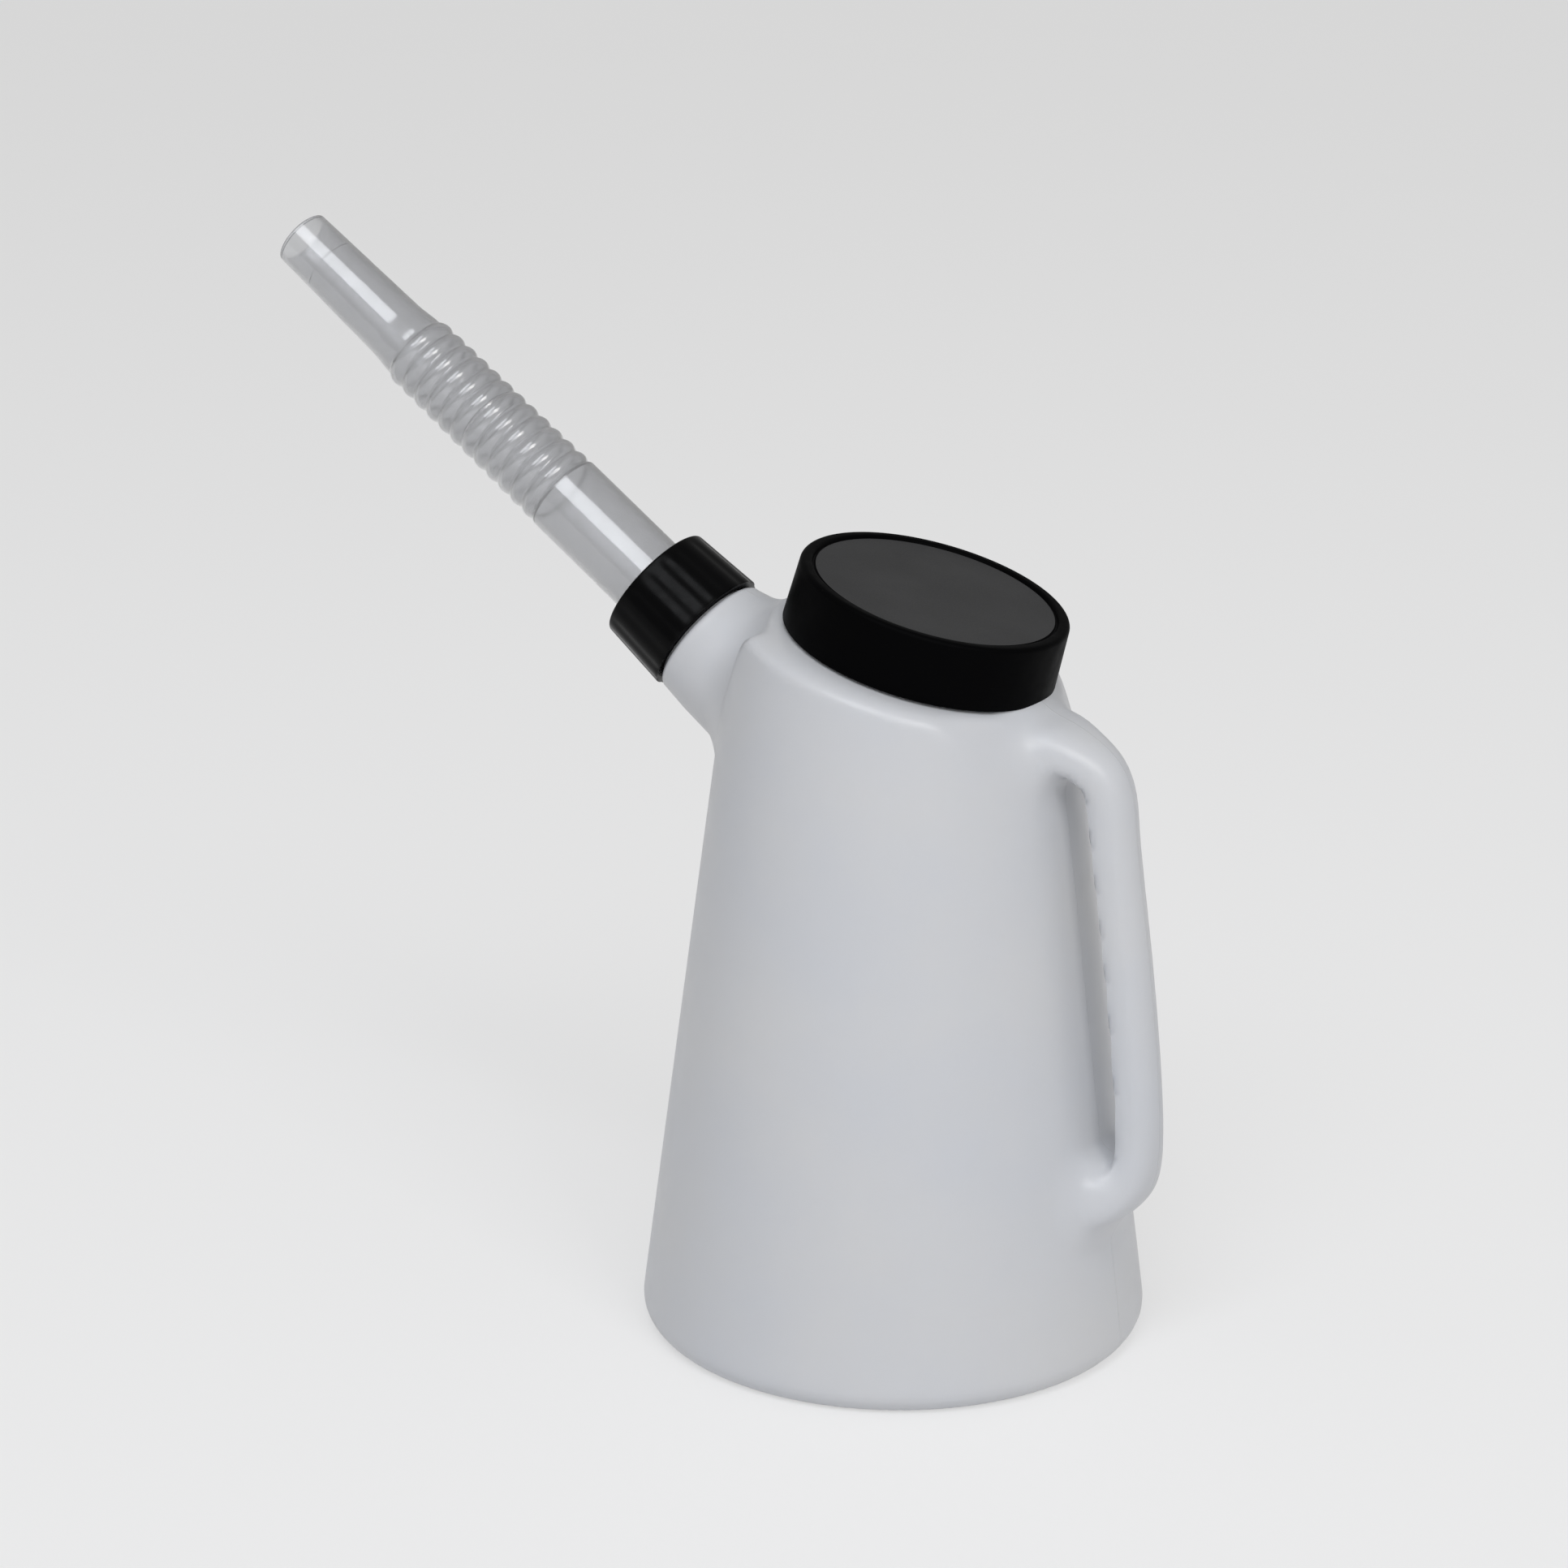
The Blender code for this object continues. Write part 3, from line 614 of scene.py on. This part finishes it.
top = lid_high
disc = [(0.0, top - disc_sink), (16 * mm, top - disc_sink), (32 * mm, top - disc_sink),
        (disc_radius - 1.0 * mm, top - disc_sink)]
groove = top - disc_sink - groove_depth
rim = [(disc_radius - 0.5 * mm, groove), (disc_radius, groove)]
rim += arc(disc_radius + 1.5 * mm, top - 1.3 * mm, 1.3 * mm, 170.0, 90.0, 5)
rim += arc(lid_top - 2.0 * mm, top - 2.0 * mm, 2.0 * mm, 90.0, 2.0, 8)
skirt = [(lid_top + (lid_rim - lid_top) * t, top - 2.0 * mm + (lid_low + 0.5 * mm - top + 2.0 * mm) * t)
         for t in (0.25, 0.5, 0.75)]
skirt += arc(lid_rim - 0.5 * mm, lid_low + 0.5 * mm, 0.5 * mm, 0.0, -90.0, 3)
inside = [(lid_rim - lid_skin + 0.2 * mm, lid_low), (lid_rim - lid_skin, lid_low + 0.3 * mm),
          (lid_top - lid_skin, top - disc_sink - lid_skin - 0.6 * mm),
          (lid_top - lid_skin - 0.6 * mm, top - disc_sink - lid_skin), (0.0, top - disc_sink - lid_skin)]
lid_profile = disc + rim + skirt + inside
lid_mesh = turned("lid", lid_profile, 144, False, lid_place, faces_from=range(3))

black, tree, shader, where = plastic("black_lid_polypropylene", (0.0014, 0.0014, 0.0016), 0.36, IOR=1.49)
shader.inputs["Specular IOR Level"].default_value = 0.02
satin = noise(tree, where, 6 * mm, 4.0)
tree.links.new(span(tree, satin, 0.25, 0.75, 0.42, 0.56), shader.inputs["Roughness"])
bumps(tree, shader, (noise(tree, where, 0.6 * mm, 3.0), 0.01 * mm), (noise(tree, where, 30 * mm), 0.12 * mm))

matt, tree, shader, where = plastic("spark_textured_disc", (0.02, 0.02, 0.021), 0.62, IOR=1.49)
grain = noise(tree, where, 0.5 * mm, 4.0, 0.65)
mottling = span(tree, noise(tree, where, 25 * mm, 4.0), 0.3, 0.7)
tree.links.new(tint(tree, mottling, (0.022, 0.022, 0.023), (0.03, 0.03, 0.031)), shader.inputs["Base Color"])
tree.links.new(span(tree, grain, 0.2, 0.8, 0.55, 0.72), shader.inputs["Roughness"])
bumps(tree, shader, (grain, 0.03 * mm))

lid_thread = thread(lid_place, lid_top - lid_skin + 0.35 * mm, mouth_lead, 0.85, 5.4 * mm, 1.25 * mm, 0.0,
                    black)
piece("screw_lid", [lid_mesh, lid_thread], [black, matt], "lid_cap", "lid_plastic", "lid", sharp=30)

# ---------------------------------------------------------------------------------------------
# Lid seal. A flat ring punched from grey closed-cell foam, pressed up into the lid, where it
# bears on the edge of the mouth. Its edges are soft from the punch.
# ---------------------------------------------------------------------------------------------
seal_outer, seal_inner, seal_edge = 49.9 * mm, 45.3 * mm, 0.35 * mm
seal_low, seal_high = 21.3 * mm, 22.8 * mm


def soft_ring(name, outer, inner, low, high, edge, steps, frame_at):
    profile = arc(outer - edge, high - edge, edge, 90.0, 0.0, 3)
    profile += arc(outer - edge, low + edge, edge, 0.0, -90.0, 3)
    profile += arc(inner + edge, low + edge, edge, -90.0, -180.0, 3)
    profile += arc(inner + edge, high - edge, edge, 180.0, 90.0, 3)
    return turned(name, profile, steps, True, frame_at)


foam, tree, shader, where = plastic("grey_seal_foam", (0.5, 0.5, 0.49), 0.85)
cells = put(tree, "ShaderNodeTexVoronoi", {"Vector": where, "Scale": 1 / (0.35 * mm)}).outputs[0]
tree.links.new(tint(tree, cells, (0.44, 0.44, 0.43), (0.56, 0.56, 0.55)), shader.inputs["Base Color"])
bumps(tree, shader, (cells, 0.06 * mm))
seal_mesh = soft_ring("foam_seal", seal_outer, seal_inner, seal_low, seal_high, seal_edge, 120, lid_place)
piece("foam_seal", [seal_mesh], foam, "lid_lifter", "seal_foam", "lid_seal", sharp=60)

# ---------------------------------------------------------------------------------------------
# Union nut. A black glossy moulded nut with shallow grip flutes round it. Its front shoulder
# holds the spout's flange, and a two-start thread inside it screws onto the slanted neck.
# ---------------------------------------------------------------------------------------------
nut_front, nut_rear, nut_shoulder = 7.6 * mm, -21.4 * mm, 4.6 * mm
nut_front_radius, nut_rear_radius, nut_bore, nut_hole = 25.4 * mm, 27.1 * mm, 23.0 * mm, 17.1 * mm
nut_front_edge, nut_rear_edge, nut_side_steps = 0.9 * mm, 0.5 * mm, 14
flute_count, flute_depth, flute_run_in = 18, 0.35 * mm, 5.0 * mm
outer_side = arc(nut_front_radius - nut_front_edge, nut_front - nut_front_edge, nut_front_edge, 90.0, 0.0, 4)
nut_side = nut_rear + nut_rear_edge - nut_front + nut_front_edge
for i in range(1, nut_side_steps):
    share = i / nut_side_steps
    outer_side.append((nut_front_radius + (nut_rear_radius - nut_front_radius) * share,
                       nut_front - nut_front_edge + nut_side * share))
outer_side += arc(nut_rear_radius - nut_rear_edge, nut_rear + nut_rear_edge, nut_rear_edge, 0.0, -90.0, 3)
nut_profile = [(nut_hole, nut_front - 0.3 * mm), (nut_hole + 0.3 * mm, nut_front)] + outer_side
nut_profile += [(nut_bore + 0.6 * mm, nut_rear), (nut_bore, nut_rear + 0.6 * mm), (nut_bore, nut_shoulder),
                (nut_hole, nut_shoulder)]
plain_nut = turned("nut", nut_profile, 180, True, Matrix.Identity(4))

glossy_black, tree, shader, where = plastic("glossy_black_nut", (0.001, 0.001, 0.0012), 0.28, IOR=1.49)
shader.inputs["Specular IOR Level"].default_value = 0.08
tree.links.new(span(tree, noise(tree, where, 5 * mm, 4.0), 0.25, 0.75, 0.2, 0.33), shader.inputs["Roughness"])
bumps(tree, shader, (noise(tree, where, 0.5 * mm, 3.0), 0.008 * mm), (noise(tree, where, 14 * mm), 0.1 * mm))

flute_tree, size = geometry_tree("grip_flutes", [
    ("Flutes", "Int"), ("Depth", "Float"), ("Front", "Float"), ("Bore", "Float"), ("Material", "Material")])
spot = put(flute_tree, "GeometryNodeInputPosition").outputs[0]
axes = put(flute_tree, "ShaderNodeSeparateXYZ", {0: spot}).outputs
angle = sum_of(flute_tree, "ARCTAN2", axes["Y"], axes["X"])
wave = sum_of(flute_tree, "COSINE", sum_of(flute_tree, "MULTIPLY", angle, size["Flutes"]))
hollow = sum_of(flute_tree, "MULTIPLY_ADD", wave, 0.5, 0.5)
hollow = sum_of(flute_tree, "POWER", hollow, 1.6)
flat_ring = put(flute_tree, "ShaderNodeCombineXYZ", {"X": axes["X"], "Y": axes["Y"]}).outputs[0]
reach = put(flute_tree, "ShaderNodeVectorMath", {0: flat_ring}, operation="LENGTH").outputs["Value"]
inner_side = put(flute_tree, "ShaderNodeMapRange", {
    "Value": reach, "From Min": size["Bore"], "From Max": sum_of(flute_tree, "ADD", size["Bore"], 1.2 * mm)},
    interpolation_type="SMOOTHSTEP").outputs[0]
run_in_end = sum_of(flute_tree, "SUBTRACT", size["Front"], flute_run_in)
start_in = put(flute_tree, "ShaderNodeMapRange", {
    "Value": axes["Z"], "From Min": size["Front"], "From Max": run_in_end},
    interpolation_type="SMOOTHSTEP").outputs[0]
pressed = sum_of(flute_tree, "MULTIPLY", sum_of(flute_tree, "MULTIPLY", hollow, inner_side), start_in)
pressed = sum_of(flute_tree, "MULTIPLY", pressed, size["Depth"])
outwards = put(flute_tree, "ShaderNodeVectorMath", {0: flat_ring}, operation="NORMALIZE").outputs[0]
pressed = sum_of(flute_tree, "MULTIPLY", pressed, -1.0)
shift = put(flute_tree, "ShaderNodeVectorMath", {0: outwards, "Scale": pressed}, operation="SCALE").outputs[0]
fluted = put(flute_tree, "GeometryNodeSetPosition", {"Geometry": size["Geometry"], "Offset": shift})
end_tree(flute_tree, fluted.outputs[0], size["Material"])
nut_mesh = grown(flute_tree, {"Flutes": flute_count, "Depth": flute_depth, "Front": nut_front,
                              "Bore": nut_bore, "Material": glossy_black}, plain_nut)
nut_mesh.transform(spout_place)
nut_thread = thread(spout_place, nut_bore + 0.15 * mm, neck_lead, 1.4, -18.5 * mm, 1.15 * mm, 0.0,
                    glossy_black)
piece("union_nut", [nut_mesh, nut_thread], glossy_black, "nut", "nut_plastic", "spout_nut", sharp=35)

# ---------------------------------------------------------------------------------------------
# Gasket. A flat ring cut from black rubber sheet, laid on the face of the neck under the flange
# of the spout. It keeps a fine dusty cloth print on its faces.
# ---------------------------------------------------------------------------------------------
gasket_outer, gasket_inner, gasket_edge = 22.6 * mm, 16.0 * mm, 0.25 * mm
gasket_low, gasket_high = 0.3 * mm, 1.8 * mm
rubber, tree, shader, where = plastic("black_sheet_rubber", (0.022, 0.022, 0.022), 0.75)
cloth_print = noise(tree, where, 0.4 * mm, 2.0)
dust = span(tree, noise(tree, where, 4 * mm, 4.0), 0.35, 0.7)
tree.links.new(tint(tree, dust, (0.018, 0.018, 0.018), (0.034, 0.034, 0.033)), shader.inputs["Base Color"])
bumps(tree, shader, (cloth_print, 0.03 * mm))
gasket_mesh = soft_ring("gasket", gasket_outer, gasket_inner, gasket_low, gasket_high, gasket_edge, 96,
                        spout_place)
piece("flange_gasket", [gasket_mesh], rubber, "spout_carrier", "gasket_rubber", "spout_gasket", sharp=60)

# ---------------------------------------------------------------------------------------------
# Flexible spout. One tube of clear polyethylene, blown with a plain stretch, twelve ribs that let
# it bend, and a tapered tip cut off square. A flange at its foot is held by the union nut. It is
# made in two halves that meet at a rib's root, so that each half can bend over one joint.
# ---------------------------------------------------------------------------------------------
spout_radius, spout_wall = 16.7 * mm, 1.5 * mm
flange_low, flange_high, flange_radius = 2.1 * mm, 4.3 * mm, 22.6 * mm
ribs_start, rib_pitch, rib_depth, ribs_taper = 59.9 * mm, 7.1 * mm, 1.5 * mm, 1.0 * mm
tip_start, tip_waist, tip_end = 146.9 * mm, 160.0 * mm, 215.4 * mm
tip_radii = (14.2 * mm, 13.2 * mm, 12.1 * mm)
seam_at, seam_margin = ribs_start + 6.25 * rib_pitch, 0.5 * mm
cut_mark_from_tip = 18 * mm

tube_tree, size = geometry_tree("ribbed_tube", [
    ("From", "Float"), ("To", "Float"), ("Rings", "Int"), ("Columns", "Int"), ("Radius", "Float"),
    ("Ribs Start", "Float"), ("Rib Pitch", "Float"), ("Rib Depth", "Float"), ("Ribs Taper", "Float"),
    ("Rib Sharpness", "Float"), ("Tip Start", "Float"), ("Tip Waist", "Float"), ("Tip End", "Float"),
    ("Tip Foot Radius", "Float"), ("Tip Waist Radius", "Float"), ("Tip End Radius", "Float"),
    ("Edge Round", "Float"), ("Material", "Material")])
line = put(tube_tree, "GeometryNodeCurvePrimitiveLine", {
    "Start": put(tube_tree, "ShaderNodeCombineXYZ", {"Z": size["From"]}).outputs[0],
    "End": put(tube_tree, "ShaderNodeCombineXYZ", {"Z": size["To"]}).outputs[0]})
stations = put(tube_tree, "GeometryNodeResampleCurve", {"Curve": line.outputs[0], "Count": size["Rings"]})
spot = put(tube_tree, "GeometryNodeInputPosition").outputs[0]
height = put(tube_tree, "ShaderNodeSeparateXYZ", {0: spot}).outputs["Z"]
past = sum_of(tube_tree, "SUBTRACT", height, size["Ribs Start"])
rib = sum_of(tube_tree, "DIVIDE", past, size["Rib Pitch"])
phase = sum_of(tube_tree, "MULTIPLY", sum_of(tube_tree, "SUBTRACT", rib, 0.25), math.pi)
crown = sum_of(tube_tree, "ABSOLUTE", sum_of(tube_tree, "SINE", phase))
crown = sum_of(tube_tree, "POWER", crown, size["Rib Sharpness"])
root = sum_of(tube_tree, "SUBTRACT", 1.0, crown)
fade = put(tube_tree, "ShaderNodeMapRange", {"Value": rib, "From Max": 0.25}, interpolation_type="SMOOTHSTEP")
root = sum_of(tube_tree, "MULTIPLY", sum_of(tube_tree, "MULTIPLY", root, fade.outputs[0]), size["Rib Depth"])
shrink = put(tube_tree, "ShaderNodeMapRange", {
    "Value": height, "From Min": size["Ribs Start"], "From Max": size["Tip Start"],
    "To Max": size["Ribs Taper"]}).outputs[0]
ribbed = sum_of(tube_tree, "SUBTRACT", sum_of(tube_tree, "SUBTRACT", size["Radius"], shrink), root)
waist = put(tube_tree, "ShaderNodeMapRange", {
    "Value": height, "From Min": size["Tip Start"], "From Max": size["Tip Waist"],
    "To Min": size["Tip Foot Radius"], "To Max": size["Tip Waist Radius"]},
    interpolation_type="SMOOTHSTEP").outputs[0]
taper = put(tube_tree, "ShaderNodeMapRange", {
    "Value": height, "From Min": size["Tip Waist"], "From Max": size["Tip End"],
    "To Max": sum_of(tube_tree, "SUBTRACT", size["Tip Waist Radius"], size["Tip End Radius"])}).outputs[0]
tip = sum_of(tube_tree, "SUBTRACT", waist, taper)
on_tip = sum_of(tube_tree, "GREATER_THAN", height, size["Tip Start"])
chosen = put(tube_tree, "ShaderNodeMix", {0: on_tip, 2: ribbed, 3: tip}, data_type="FLOAT").outputs[0]
edge = sum_of(tube_tree, "SUBTRACT", size["Tip End"], size["Edge Round"])
edge = sum_of(tube_tree, "DIVIDE", sum_of(tube_tree, "SUBTRACT", height, edge), size["Edge Round"])
edge = sum_of(tube_tree, "MINIMUM", sum_of(tube_tree, "MAXIMUM", edge, 0.0), 1.0)
rounded = sum_of(tube_tree, "SUBTRACT", 1.0, sum_of(tube_tree, "MULTIPLY", edge, edge))
rounded = sum_of(tube_tree, "SQRT", rounded)
rounded = sum_of(tube_tree, "MULTIPLY", sum_of(tube_tree, "SUBTRACT", 1.0, rounded), size["Edge Round"])
radius = sum_of(tube_tree, "SUBTRACT", chosen, rounded)
swollen = put(tube_tree, "GeometryNodeSetCurveRadius", {"Curve": stations.outputs[0], "Radius": radius})
ring_curve = put(tube_tree, "GeometryNodeCurvePrimitiveCircle", {
    "Resolution": size["Columns"], "Radius": 1.0})
tube = put(tube_tree, "GeometryNodeCurveToMesh", {
    "Curve": swollen.outputs[0], "Profile Curve": ring_curve.outputs[0]})
if "Scale" in tube.inputs:
    tube_tree.links.new(radius, tube.inputs["Scale"])
end_tree(tube_tree, tube.outputs[0], size["Material"])

clear, tree, shader, where = plastic("clear_spout_polyethylene", (0.77, 0.775, 0.79), 0.2, IOR=1.48,
                                     Coat_Weight=1.0, Coat_Roughness=0.13, Transmission_Weight=0.85)
along_spout = put(tree, "ShaderNodeVectorMath", {0: where, 1: tuple(spout_way)}, operation="DOT_PRODUCT")
tree.links.new(span(tree, noise(tree, where, 12 * mm, 3.0), 0.3, 0.7, 0.14, 0.22), shader.inputs["Roughness"])
from_mark = sum_of(tree, "SUBTRACT", along_spout.outputs["Value"],
                   spout_way.dot(neck_face) + tip_end - cut_mark_from_tip)
cut_mark = span(tree, sum_of(tree, "ABSOLUTE", from_mark), 0.15 * mm, 0.5 * mm, 1.0, 0.0, "SMOOTHSTEP")
bumps(tree, shader, (noise(tree, where, 25 * mm, 2.0), 0.1 * mm), (cut_mark, 0.05 * mm))


def spout_sheet(thing):
    step = thing.modifiers.new("wall", "SOLIDIFY")
    step.thickness = spout_wall
    step.offset = -1.0


def spout_half(name, low, high, rings):
    made = grown(tube_tree, {
        "From": low, "To": high, "Rings": rings, "Columns": 80, "Radius": spout_radius,
        "Ribs Start": ribs_start, "Rib Pitch": rib_pitch, "Rib Depth": rib_depth, "Ribs Taper": ribs_taper,
        "Rib Sharpness": 0.85, "Tip Start": tip_start, "Tip Waist": tip_waist, "Tip End": tip_end,
        "Tip Foot Radius": tip_radii[0], "Tip Waist Radius": tip_radii[1], "Tip End Radius": tip_radii[2],
        "Edge Round": 0.6 * mm, "Material": clear})
    outward(made)
    middle = made.polygons[len(made.polygons) // 2]
    if middle.normal.dot(Vector((middle.center.x, middle.center.y, 0.0))) < 0:
        made.flip_normals()
    made = finished(made, spout_sheet)
    made.transform(spout_place)
    return made


flange = soft_ring("flange", flange_radius, spout_radius - 0.3 * mm, flange_low, flange_high, 0.3 * mm, 80,
                   spout_place)
lower_half = piece("spout_lower_half", [spout_half("lower", flange_low, seam_at, 250), flange], clear, None,
                   "clear_plastic", "spout_base", "spout_bellows", sharp=60)
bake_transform(lower_half)
upper_half = piece("spout_upper_half", [spout_half("upper", seam_at, tip_end, 300)], clear, None,
                   "clear_plastic", "spout_tip", sharp=60)
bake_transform(upper_half)

# ---------------------------------------------------------------------------------------------
# Studio. A plain pale floor, an even pale surround, two soft lamps from the camera's side and a
# high one that draws the stripe along the spout. The camera stands as in the photograph.
# ---------------------------------------------------------------------------------------------
floor_mesh = bpy.data.meshes.new("floor")
floor_mesh.from_pydata([(-8, -8, 0), (8, -8, 0), (8, 12, 0), (-8, 12, 0)], [], [(0, 1, 2, 3)])
floor = bpy.data.objects.new("floor", floor_mesh)
bpy.context.scene.collection.objects.link(floor)
paper, tree, shader, where = plastic("pale_paper", (0.8, 0.8, 0.805), 0.9)
shader.inputs["Specular IOR Level"].default_value = 0.1
rays = put(tree, "ShaderNodeLightPath").outputs
seen = sum_of(tree, "MAXIMUM", rays["Is Camera Ray"], rays["Is Glossy Ray"])
seen = sum_of(tree, "MAXIMUM", seen, rays["Is Transmission Ray"])
shown = tint(tree, seen, (0.76, 0.76, 0.765), (0.38, 0.38, 0.382))
tree.links.new(sum_of(tree, "MULTIPLY", seen, 0.52), shader.inputs["Emission Strength"])
shader.inputs["Emission Color"].default_value = (1.0, 1.0, 1.0, 1.0)
fibres = span(tree, noise(tree, where, 0.9, 2.0), 0.3, 0.7, 0.985, 1.0)
shaded = put(tree, "ShaderNodeVectorMath", {0: shown, "Scale": fibres}, operation="SCALE").outputs[0]
tree.links.new(shaded, shader.inputs["Base Color"])
floor_mesh.materials.append(paper)

world = bpy.data.worlds.new("studio")
bpy.context.scene.world = world
world.use_nodes = True
surround = world.node_tree.nodes["Background"]
surround.inputs["Strength"].default_value = 0.39
surround.inputs["Color"].default_value = (1.0, 0.995, 0.985, 1.0)


def sight(azimuth, elevation):
    """The way from the object to where a lamp or the camera stands. Azimuth 0 is in front."""
    turn, lift = math.radians(azimuth), math.radians(elevation)
    return Vector((math.sin(turn) * math.cos(lift), -math.cos(turn) * math.cos(lift), math.sin(lift)))


def soft_lamp(name, azimuth, elevation, distance, height_along, width, height, power, colour):
    away = sight(azimuth, elevation)
    across = Vector(height_along).cross(away).normalized()
    data = bpy.data.lights.new(name, "AREA")
    data.shape = "RECTANGLE"
    data.size, data.size_y, data.energy, data.color = width, height, power, colour
    lamp = bpy.data.objects.new(name, data)
    lamp.matrix_world = Matrix.Translation(middle + away * distance) @ Matrix(
        (across, away.cross(across), away)).transposed().to_4x4()
    bpy.context.scene.collection.objects.link(lamp)


middle = Vector((-50.18, 0.0, 211.11)) * mm
soft_lamp("side_softbox", 60.0, 34.0, 3.6, (0, 0, 1), 1.2, 1.2, 24.0, (1.0, 0.985, 0.965))
soft_lamp("front_softbox", 36.0, 32.0, 3.6, (0, 0, 1), 1.8, 1.8, 20.0, (0.95, 0.97, 1.0))
soft_lamp("high_strip", 9.7, 51.8, 3.7, spout_way, 2.6, 1.25, 41.0, (0.93, 0.955, 1.0))

camera_azimuth, camera_elevation, camera_distance = 29.362, 16.6, 1.3656
picture_width, focal_pixels, sensor = 1932.0, 4290.0, 36.0
camera_data = bpy.data.cameras.new("camera")
camera = bpy.data.objects.new("camera", camera_data)
bpy.context.scene.collection.objects.link(camera)
back = sight(camera_azimuth, camera_elevation)
camera.location = middle + back * camera_distance
camera.rotation_mode = "QUATERNION"
camera.rotation_quaternion = (-back).to_track_quat("-Z", "Y")
camera_data.sensor_width = sensor
camera_data.lens = focal_pixels / picture_width * sensor
camera_data.clip_start, camera_data.clip_end = 0.05, 60.0
bpy.context.scene.camera = camera
bpy.context.scene.view_settings.view_transform = "Standard"
